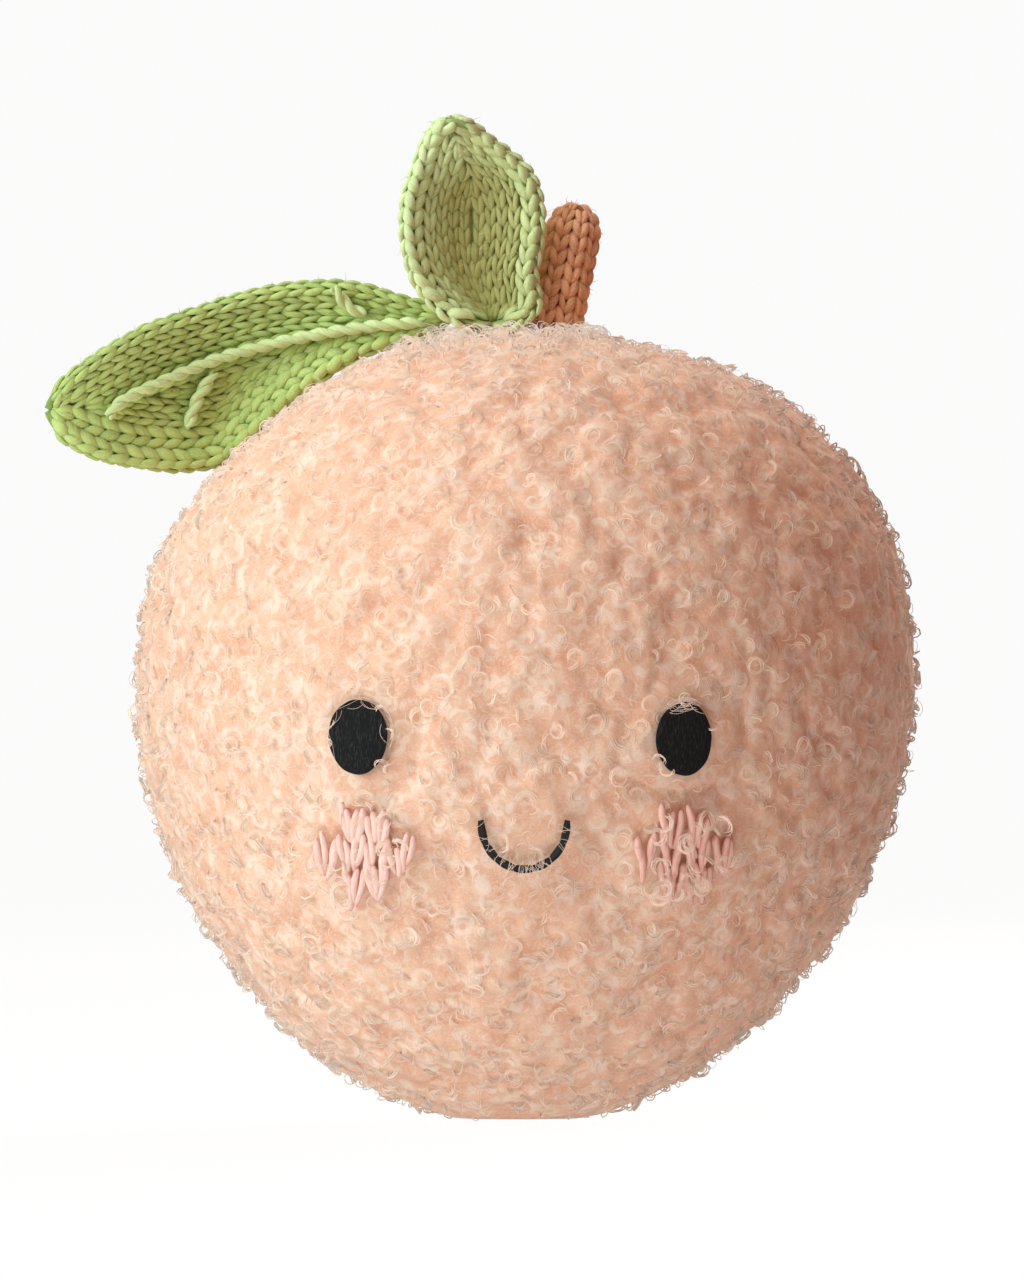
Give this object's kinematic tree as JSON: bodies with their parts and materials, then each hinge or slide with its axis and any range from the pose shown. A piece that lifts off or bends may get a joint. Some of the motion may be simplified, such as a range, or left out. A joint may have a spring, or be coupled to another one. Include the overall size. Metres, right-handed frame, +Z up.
{
  "type": "stuffed soft toy peach",
  "caption": "Stuffed, curly-knit peach soft toy with a knitted stem, an upright and a drooping knitted leaf, felt eyes, and a stitched mouth and cheeks.",
  "frame": {"origin": "centre of the small flat spot under the body that the toy rests on", "axes": "+Z up through the stem, face towards -Y, drooping leaf towards -X"},
  "size_m": [0.1655, 0.1395, 0.1921],
  "materials": {
    "curly_yarn": "matte",
    "brown_yarn": "matte",
    "light_green_yarn": "matte",
    "dark_green_yarn": "matte",
    "vein_yarn": "matte",
    "black_felt": "matte",
    "black_thread": "matte",
    "pink_yarn": "matte"
  },
  "bodies": {
    "root": {"body": "curly_yarn", "stem": "brown_yarn", "leaf_upright": "light_green_yarn", "leaf_side": "dark_green_yarn", "vein_middle": "vein_yarn", "vein_upper": "vein_yarn", "vein_lower": "vein_yarn", "eye_left": "black_felt", "eye_right": "black_felt", "mouth": "black_thread", "cheek_left": "pink_yarn", "cheek_right": "pink_yarn"}
  },
  "joints": []
}
